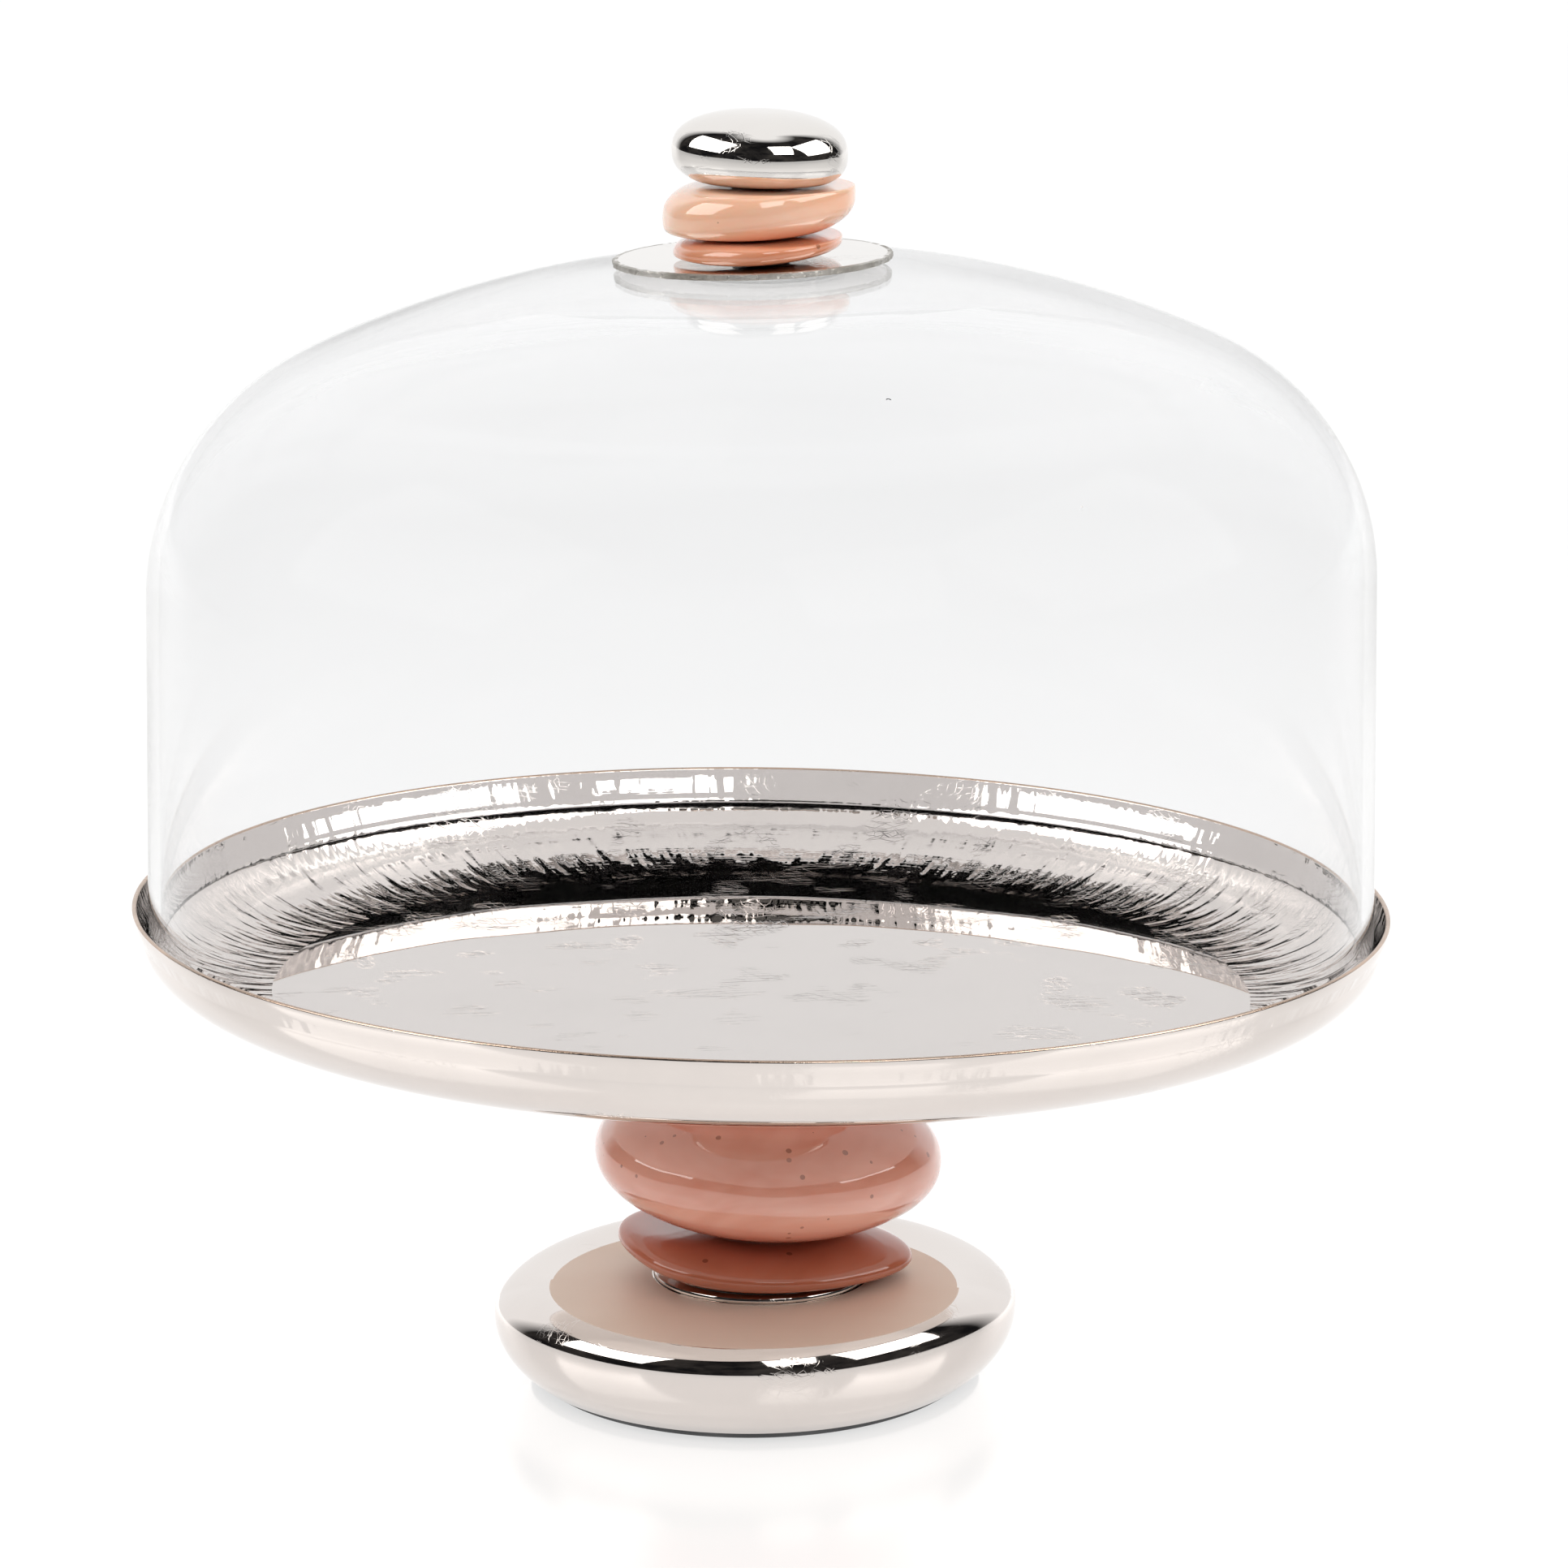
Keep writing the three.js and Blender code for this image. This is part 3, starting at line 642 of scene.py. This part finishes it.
def threaded_rod(node, radius, thread_low, thread_high):
    """A rod with a rolled thread on its first thread_low and last thread_high millimetres."""
    low, high = box_mm(node)
    across, chamfer, plain_end, rings_a_turn = 40, 0.8, 0.5, 6
    step = THREAD_PITCH / rings_a_turn
    levels = list(np.arange(low.z + chamfer, low.z + thread_low, step))
    levels += list(np.arange(high.z - thread_high, high.z - chamfer, step))
    turn = angles(across)
    rings = [circle(radius - chamfer, low.z, across)]
    for level in levels:
        phase = level / THREAD_PITCH - turn / TURN
        ridge = np.abs((phase % 1) * 2 - 1)
        threaded = level < low.z + thread_low - plain_end or level > high.z - thread_high + plain_end
        rings.append(circle(radius - (THREAD_DEPTH * ridge if threaded else 0.0), level, across))
    rings.append(circle(radius - chamfer, high.z, across))
    return joined(rings, (0, 0, low.z), (0, 0, high.z))


def nut():
    """A hexagon nut, its corners and its bore chamfered."""
    low, high = box_mm("tie_rod_nut")
    across, half_side = 96, math.radians(30)
    corner_cut, end_cut, side_cut, side_play, bore_cut = 0.35, 0.25, 0.8, 0.03, 0.5
    flat = (high.y - low.y) / 2
    hexagon = flat / np.cos((angles(across) + half_side) % (2 * half_side) - half_side)
    rounded = np.minimum(hexagon, flat + corner_cut)
    side = hexagon - side_play
    bore = ROD_RADIUS + THREAD_PLAY
    return joined([circle(radius, level, across) for radius, level in (
        (bore + bore_cut, low.z),
        (rounded - corner_cut, low.z),
        (rounded, low.z + end_cut),
        (side, low.z + side_cut),
        (side, high.z - side_cut),
        (rounded, high.z - end_cut),
        (rounded - corner_cut, high.z),
        (bore + bore_cut, high.z),
        (bore, high.z - bore_cut),
        (bore, low.z + bore_cut),
    )], closed=True)


def spring_washer():
    """A split ring, its two ends cut square."""
    low, high = box_mm("tie_rod_spring_washer")
    inner, outer = 4.15, (high.y - low.y) / 2
    half_gap = 0.11
    steps = 60
    section = ((inner, low.z), (outer, low.z), (outer, high.z), (inner, high.z))
    points, faces = [], []
    for i in range(steps + 1):
        turn = half_gap + (TURN - 2 * half_gap) * i / steps
        for radius, height in section:
            points.append((radius * math.cos(turn), radius * math.sin(turn), height))
    sides = len(section)
    for i in range(steps):
        for j in range(sides):
            k = (j + 1) % sides
            faces.append((sides * i + j, sides * (i + 1) + j, sides * (i + 1) + k, sides * i + k))
    faces.append(tuple(range(sides)))
    faces.append(tuple(sides * steps + j for j in reversed(range(sides))))
    return points, faces


def boss():
    """The blind threaded boss under the tray."""
    low, high = box_mm("tray_boss")
    outer = (high.x - low.x) / 2
    bore = ROD_RADIUS + THREAD_PLAY
    end_wall, chamfer, across = 0.9, 1, 64
    return turned([
        (0, high.z - end_wall),
        (bore, high.z - end_wall),
        (bore, low.z),
        (outer - chamfer, low.z),
        (outer, low.z + chamfer),
        (outer, high.z),
        (0, high.z),
    ], across)


def tray():
    """The spun tray: flat floor, elliptical wall, short lip with a rolled-over edge."""
    wall_steps, edge_steps, across = 36, 8, 256
    floor_radii = (0, 20, 60, 95)
    lip_in, lip_down = 0.7, 3.2

    def floor_and_wall(depth):
        """The sheet's side at a depth above its underside, from the axis to the top of the wall."""
        side = [(radius, TRAY_WALL_TOP - TRAY_WALL_DROP + depth) for radius in floor_radii]
        for i in range(wall_steps + 1):
            angle = math.radians(90) * i / wall_steps
            side.append((
                TRAY_FLOOR_RADIUS + (TRAY_WALL_REACH - depth) * math.sin(angle),
                TRAY_WALL_TOP - (TRAY_WALL_DROP - depth) * math.cos(angle),
            ))
        return side

    half = TRAY_SHEET / 2
    edge_radius, edge_level = TRAY_RIM_RADIUS - half, TRAY_RIM_HEIGHT - half
    lip = [(TRAY_RIM_RADIUS - lip_in, TRAY_RIM_HEIGHT - lip_down)]
    for i in range(edge_steps + 1):
        angle = math.radians(180) * i / edge_steps
        lip.append((edge_radius + half * math.cos(angle), edge_level + half * math.sin(angle)))
    lip.append((TRAY_RIM_RADIUS - TRAY_SHEET - lip_in, TRAY_RIM_HEIGHT - lip_down))
    return turned(floor_and_wall(0) + lip + floor_and_wall(TRAY_SHEET)[::-1], across, lambda z: TRAY_LEAN)


def tray_pick(centre):
    """1 on the rim's edge, where the plating is worn, 2 inside the wall and 0 elsewhere."""
    worn, lip_reach = 0.3 * TRAY_SHEET, 1.05
    level = centre.z - TRAY_LEAN * centre.x
    out = (math.hypot(centre.x, centre.y) - TRAY_FLOOR_RADIUS) / (TRAY_WALL_REACH - TRAY_SHEET / 2)
    fall = (TRAY_WALL_TOP - level) / (TRAY_WALL_DROP - TRAY_SHEET / 2)
    if level > TRAY_RIM_HEIGHT - worn:
        return 1
    within = math.hypot(out, max(0, fall)) < 1 or (level > TRAY_WALL_TOP and out < lip_reach)
    return 2 if out > 0 and within else 0


def gaskets(nodes, bore, body):
    """The clear washers between the parts of a stack."""
    for node in nodes:
        piece(node + "_clear", washer(node, bore), [silicone], body, node)


piece("foot_pad_rubber", foot_pad(), [rubber], "stand", "foot_pad")
piece("base_pebble_shell", base_shell(), [nickel_base, satin_face_painted_reflection], "stand", "base_shell",
      pick=face_pick, sharp=30)
piece("collar", washer("base_collar", ROD_BORE, across=128, chamfer=0.7), [nickel_small], "stand",
      "base_collar")
piece("rod_threaded", threaded_rod("tie_rod", ROD_RADIUS, thread_low=14, thread_high=6), [steel], "stand",
      "tie_rod")
piece("rod_washer", washer("tie_rod_washer", WASHER_BORE), [steel], "stand", "tie_rod_washer")
piece("rod_spring_washer", spring_washer(), [steel], "stand", "tie_rod_spring_washer")
piece("rod_nut", nut(), [steel], "stand", "tie_rod_nut", sharp=25)
gaskets(("base_gasket", "lower_gasket", "middle_gasket", "top_gasket"), ROD_BORE, "stand")
piece("stack_pebble_lower", drilled_pebble(LOWER, "pedestal_pebble_lower", ROD_BORE, seed=1.3), [rose_dark],
      "stand", "pedestal_pebble_lower")
piece("stack_pebble_middle", drilled_pebble(MIDDLE, "pedestal_pebble_middle", ROD_BORE, seed=2.7), [rose],
      "stand", "pedestal_pebble_middle")
piece("stack_pebble_top", drilled_pebble(TOP, "pedestal_pebble_top", ROD_BORE, seed=4.1), [rose],
      "stand", "pedestal_pebble_top")
piece("boss", boss(), [nickel_small], "stand", "tray_boss")
piece("spun_tray", tray(), [nickel_tray, rim_metal, nickel_wall], "stand", "tray",
      pick=tray_pick)

# ------------------------------------------------ the dome

saucer_low, saucer_high = box_mm("knob_saucer")
SAUCER_RADIUS = (saucer_high.x - saucer_low.x) / 2


def dome_section(depth):
    """The dome's section from crown to foot, set in by depth from the outer surface."""
    flat_steps, crown_steps, shoulder_steps, wall_steps = 14, 10, 24, 16
    shoulder_centre = DOME_SHOULDER_RADIUS - DOME_SHOULDER_ARC
    centre_gap = DOME_CROWN_ARC - DOME_SHOULDER_ARC
    crown_centre = DOME_SHOULDER_HEIGHT - math.sqrt(centre_gap ** 2 - shoulder_centre ** 2)
    crown_arc, shoulder_arc = DOME_CROWN_ARC - depth, DOME_SHOULDER_ARC - depth
    flat_top = DOME_FLAT_TOP - depth
    fall = flat_top - crown_centre - math.sqrt(crown_arc ** 2 - DOME_FLAT_BLEND ** 2)
    section = []
    for i in range(flat_steps):
        share = i / flat_steps
        section.append((DOME_FLAT_BLEND * share, flat_top - fall * share ** DOME_FLAT_POWER))

    blend_angle = math.acos(DOME_FLAT_BLEND / crown_arc)
    meeting = math.atan2(DOME_SHOULDER_HEIGHT - crown_centre, shoulder_centre)
    for i in range(crown_steps):
        angle = blend_angle + (meeting - blend_angle) * i / crown_steps
        section.append((crown_arc * math.cos(angle), crown_centre + crown_arc * math.sin(angle)))
    for i in range(shoulder_steps + 1):
        angle = meeting * (1 - i / shoulder_steps)
        section.append((
            shoulder_centre + shoulder_arc * math.cos(angle),
            DOME_SHOULDER_HEIGHT + shoulder_arc * math.sin(angle),
        ))

    wall_foot = DOME_FOOT_HEIGHT + DOME_GLASS / 2
    for i in range(1, wall_steps + 1):
        share = i / wall_steps
        section.append((
            DOME_SHOULDER_RADIUS - depth + (DOME_FOOT_RADIUS - DOME_SHOULDER_RADIUS) * share,
            DOME_SHOULDER_HEIGHT + (wall_foot - DOME_SHOULDER_HEIGHT) * share,
        ))
    return section


def dome_lean(height):
    """The slope of a ring of the dome: the tray's at its foot, and its own from DOME_LEAN_FULL up."""
    share = np.clip((height - DOME_LEAN_START) / (DOME_LEAN_FULL - DOME_LEAN_START), 0, 1)
    return TRAY_LEAN + (DOME_LEAN - TRAY_LEAN) * share * share * (3 - 2 * share)


def dome():
    """The blown bell, open below, with a rounded foot."""
    foot_steps, across = 10, 224
    half = DOME_GLASS / 2
    foot = []
    for i in range(1, foot_steps):
        angle = math.radians(180 + 180 * i / foot_steps)
        foot.append((
            DOME_FOOT_RADIUS - half + half * math.cos(angle),
            DOME_FOOT_HEIGHT + half + half * math.sin(angle),
        ))
    return turned(dome_section(DOME_GLASS) + foot + dome_section(0)[::-1], across, dome_lean)


def rim_noise(turns, seed, fine):
    """A repeatable ragged line round the saucer's rim, about -1 to 1."""
    finer = 2.7
    places = [Vector((math.cos(turn) * fine, math.sin(turn) * fine, seed)) for turn in turns]
    return np.array([noise.noise(place) + 0.5 * noise.noise(place * finer) for place in places])


def tilted(rings):
    """Rings moved up and down to follow the saucer's slant."""
    for ring in rings:
        ring[:, 2] += SAUCER_LEAN_X * ring[:, 0] + SAUCER_LEAN_Y * ring[:, 1]
    return rings


def saucer():
    """A thin disc cut by hand: its rim is chipped, its faces are polished."""
    low, high = box_mm("knob_saucer")
    across = 512
    bore_play, edge_width = 0.05, 1.5
    chip_scale, ragged_scale, chip_depth, corner_round = 9.0, 26.0, 0.22, 0.35
    least, usual, most, ragged_lift = 0.02, 0.25, 1.2, 0.12
    turn = angles(across)
    rise = math.hypot(SAUCER_LEAN_X * SAUCER_RADIUS, SAUCER_LEAN_Y * SAUCER_RADIUS)
    thick = (high.z - low.z) - 2 * rise
    under = (high.z + low.z) / 2 - thick / 2 - SAUCER_LEAN_X * SAUCER_OFFSET
    over = under + thick
    # From the bore outwards: radius and plan offset of the rings on each flat side.
    flat_side = (
        (STUD_RADIUS + bore_play, 0.0),
        (SAUCER_RADIUS * 0.6, SAUCER_OFFSET),
        (SAUCER_RADIUS - edge_width, SAUCER_OFFSET),
    )
    chips = rim_noise(turn, 1.0, chip_scale)
    rings = [circle(radius, under, across, x) for radius, x in flat_side]
    for i, level in enumerate((0.0, 0.2, 0.45, 0.7, 0.9, 1.0)):
        ragged = rim_noise(turn, 3.0 + 2 * i, ragged_scale)
        at_face = level in (0.0, 1.0)
        inward = usual + chip_depth * (chips + ragged) + corner_round * at_face
        height = under + thick * level + ragged_lift * ragged * (not at_face)
        rings.append(circle(SAUCER_RADIUS - np.clip(inward, least, most), height, across, SAUCER_OFFSET))
    rings += [circle(radius, over, across, x) for radius, x in reversed(flat_side)]
    return joined(tilted(rings), closed=True)


def saucer_pick(centre):
    """1 on the chipped rim, 0 on the polished faces."""
    rim_width = 1.1
    out = math.hypot(centre.x - SAUCER_OFFSET, centre.y)
    return 1 if out > SAUCER_RADIUS - rim_width else 0


def bond():
    """The clear layer between the saucer and the glass, slanted like the saucer."""
    low, high = box_mm("saucer_bond")
    outer = (high.x - low.x) / 2
    inner, soft, across = outer * 0.5, 0.1, 64
    slant = math.hypot(SAUCER_LEAN_X, SAUCER_LEAN_Y) * outer
    bottom, top = low.z + slant, high.z - slant
    rings = [circle(radius, level, across) for radius, level in (
        (inner, bottom),
        (outer - soft, bottom),
        (outer, (bottom + top) / 2),
        (outer - soft, top),
        (inner, top),
    )]
    return joined(tilted(rings), (0, 0, bottom), (0, 0, top))


def cap():
    """The metal pebble on top of the knob, with a blind bore for the stud."""
    low, high = box_mm("knob_cap_pebble")
    across, steps = 144, 64
    first_slope, last_slope = -82, 89
    wander, wave_length, seed, rounding = 0.1, 16.0, 7.7, 1.0
    chamfer, chamfer_depth, stud_room = 0.4, 0.2, 0.6
    bore = STUD_RADIUS + THREAD_PLAY
    bore_end = box_mm("knob_stud")[1].z + stud_room
    rings = [
        circle(bore, bore_end, across),
        circle(bore, low.z + chamfer_depth, across),
        circle(bore + chamfer, low.z, across),
    ]
    for i in range(steps):
        slope = math.radians(first_slope + (last_slope - first_slope) * i / (steps - 1))
        ring = waves(pebble_ring(CAP, slope, across), wander, wave_length, seed)
        ring[:, 2] = soft_limit(ring[:, 2], low.z, rounding, 1)
        rings.append(ring)
    return joined(rings, (0, 0, bore_end), (CAP["x"], CAP["y"], high.z))


piece("blown_dome", dome(), [clear_glass], "dome", "glass_dome")
piece("bond_clear", bond(), [silicone], "dome", "saucer_bond")
piece("saucer_disc", saucer(), [nickel_cap, cut_edge], "dome", "knob_saucer",
      pick=saucer_pick)
piece("stud", threaded_rod("knob_stud", STUD_RADIUS, thread_low=1.5, thread_high=9), [steel], "dome",
      "knob_stud")
gaskets(("knob_gasket_lower", "knob_gasket_middle", "knob_gasket_upper"), STUD_BORE, "dome")
piece("knob_glass_lower",
      drilled_pebble(KNOB_LOWER, "knob_pebble_lower", STUD_BORE, seed=5.2, wander=0.25),
      [rose_knob], "dome", "knob_pebble_lower")
piece("knob_glass_upper",
      drilled_pebble(KNOB_UPPER, "knob_pebble_upper", STUD_BORE, seed=6.6, wander=0.25),
      [peach], "dome", "knob_pebble_upper")
piece("knob_cap", cap(), [nickel_cap], "dome", "knob_cap_pebble")

# ------------------------------------------------ the studio

# In metres, except for the strength and the colour.
FLOOR_HALF = 5.0
AIM_HEIGHT = 0.12
LIGHT_DISTANCE = 2.4
LIGHT_STRENGTH = 3.2
LIGHT_COLOUR = (1, 0.985, 0.96, 1)


def flat_sheet(name, corners, material):
    """A flat face of the studio, which is not part of the object."""
    mesh = bpy.data.meshes.new(name)
    mesh.from_pydata(corners, [], [tuple(range(len(corners)))])
    mesh.materials.append(material)
    made = bpy.data.objects.new(name, mesh)
    bpy.context.scene.collection.objects.link(made)
    return made


def floor_material():
    """Pale satin floor with a soft glow of its own, a little stronger near the object, where it is painted
    light that lifts the object's shadow.
    """
    # The stronger glow near the object is painted light that lifts the object's shadow on the floor.
    near, far, painted_lift_near, far_glow = 0.2, 1.2, 0.66, 0.5
    material, tree = new_material("pale_floor")
    place = stretched(tree)
    show(tree, add(tree, "ShaderNodeBsdfPrincipled", {
        "Base Color": (0.32, 0.317, 0.314, 1),
        "Roughness": scale_to(tree, cloud(tree, place, 6.0), 0.3, 0.7, 0.14, 0.2),
        "Emission Color": (1, 1, 1, 1),
        "Emission Strength": scale_to(tree, length(tree, place), near, far, painted_lift_near, far_glow),
    }))
    return material


SQUARE = ((-1, -1), (1, -1), (1, 1), (-1, 1))
flat_sheet("floor", [(x * FLOOR_HALF, y * FLOOR_HALF, 0) for x, y in SQUARE], floor_material())


def softbox(name, azimuth, elevation, width, height):
    """A lit panel that faces the object. Azimuth 0 is behind the camera and grows to the right."""
    aim, lift = math.radians(azimuth), math.radians(elevation)
    out = Vector((math.sin(aim) * math.cos(lift), -math.cos(aim) * math.cos(lift), math.sin(lift)))
    side = Vector((math.cos(aim), math.sin(aim), 0))
    up = out.cross(side)
    middle = Vector((0, 0, AIM_HEIGHT)) + out * LIGHT_DISTANCE
    corners = [middle + side * x * width / 2 + up * z * height / 2 for x, z in SQUARE]
    material, tree = new_material(name)
    show(tree, add(tree, "ShaderNodeEmission", {"Color": LIGHT_COLOUR, "Strength": LIGHT_STRENGTH}))
    return flat_sheet(name, corners, material)


softbox("window_left", azimuth=-76, elevation=37, width=2.1, height=1.75)
softbox("window_small", azimuth=22, elevation=40, width=1.0, height=1.3)
softbox("window_right", azimuth=78, elevation=37, width=2.1, height=1.75)


def studio_world():
    """White overhead and behind the object. The rest, round the camera and to both sides, is a dark room
    that shows in reflections but not to the camera or through the glass."""
    side_start, side_end = math.radians(120), math.radians(138)
    roof_start, roof_end = math.radians(68), math.radians(82)
    white, darkest, palest = (1, 1, 1, 1), (0.008, 0.008, 0.009, 1), (0.05, 0.046, 0.043, 1)
    world = bpy.data.worlds.new("studio")
    bpy.context.scene.world = world
    tree = blank_tree(world)
    way = add(tree, "ShaderNodeTexCoord").outputs["Generated"]
    parts = add(tree, "ShaderNodeSeparateXYZ", {0: way})
    behind = sums(tree, "MULTIPLY", parts.outputs[1], -1.0)
    azimuth = sums(tree, "ABSOLUTE", sums(tree, "ARCTAN2", parts.outputs[0], behind))
    elevation = sums(tree, "ARCSINE", parts.outputs[2])
    room = sums(tree, "MULTIPLY", scale_to(tree, azimuth, side_start, side_end, 1.0, 0.0),
                scale_to(tree, elevation, roof_start, roof_end, 1.0, 0.0))
    rays = add(tree, "ShaderNodeLightPath")
    seen = sums(tree, "MAXIMUM", rays.outputs["Is Camera Ray"], rays.outputs["Is Transmission Ray"])
    dark = sums(tree, "MULTIPLY", room, sums(tree, "SUBTRACT", 1.0, seen))
    lumps = cloud(tree, way, 3.0, detail=4.0, rough=0.6)
    walls = blended(tree, scale_to(tree, lumps, 0.4, 0.7, 0.0, 1.0), darkest, palest)
    light = add(tree, "ShaderNodeBackground", {"Color": blended(tree, dark, white, walls), "Strength": 1.0})
    add(tree, "ShaderNodeOutputWorld", {0: light.outputs[0]})


studio_world()

# ------------------------------------------------ the camera

# In metres and degrees, with the lens and the sensor in millimetres.
CAMERA_BACK = 1.8364
CAMERA_HEIGHT = 0.561
CAMERA_DOWN = 12.71
CAMERA_LENS = 181.47
CAMERA_SENSOR = 36.0
CAMERA_SHIFT = 0.0145
CAMERA_NEAR = 0.05

camera_data = bpy.data.cameras.new("camera")
camera_data.lens = CAMERA_LENS
camera_data.sensor_width = CAMERA_SENSOR
camera_data.shift_x = CAMERA_SHIFT
camera_data.clip_start = CAMERA_NEAR
camera = bpy.data.objects.new("camera", camera_data)
camera.location = (0, -CAMERA_BACK, CAMERA_HEIGHT)
camera.rotation_euler = (math.radians(90 - CAMERA_DOWN), 0, 0)
bpy.context.scene.collection.objects.link(camera)
bpy.context.scene.camera = camera
bpy.context.scene.view_settings.view_transform = "Standard"
